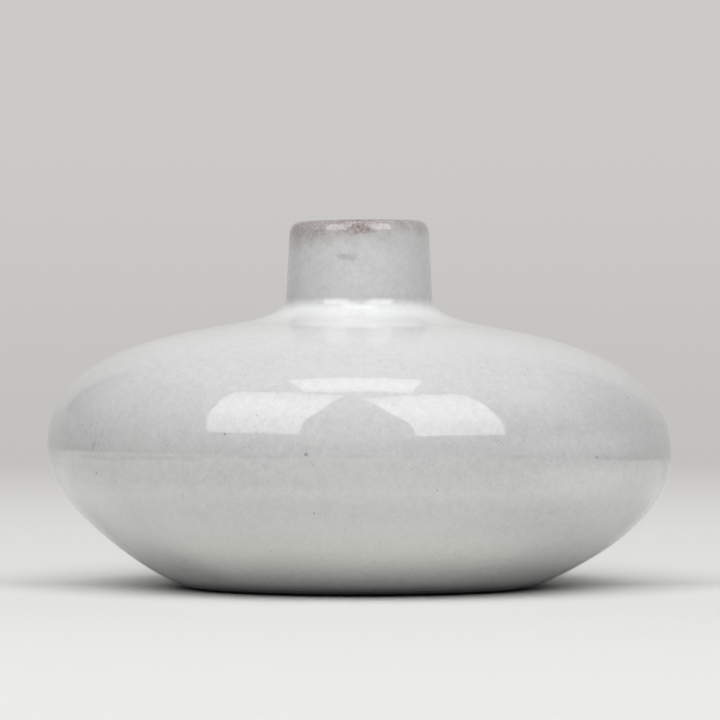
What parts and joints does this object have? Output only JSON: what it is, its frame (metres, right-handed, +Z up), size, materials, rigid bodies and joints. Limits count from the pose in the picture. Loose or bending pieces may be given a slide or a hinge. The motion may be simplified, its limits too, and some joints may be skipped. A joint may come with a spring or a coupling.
{
  "type": "bud vase",
  "caption": "Squat round bud vase with a short tapered neck and rounded lip, glazed inside and out, standing on a turned foot with a shallow recess.",
  "frame": {"origin": "centre of the foot, on the surface that the vase stands on", "axes": "+Z up along the vase's axis of revolution, -Y towards the picture's viewer, +X to the viewer's right"},
  "size_m": [0.108, 0.108, 0.0635],
  "materials": {
    "clay": "bare fired stoneware, matt",
    "slip": "fired joining slip, matt",
    "lining": "poured glaze, glossy",
    "glaze": "pale blue-grey glaze, glossy, speckled"
  },
  "bodies": {
    "root": {"lower_bowl": "clay", "shoulder_dome": "clay", "neck_collar": "clay", "neck_coil": "clay", "girth_slip": "slip", "inner_glaze": "lining", "outer_glaze": "glaze"}
  },
  "joints": []
}
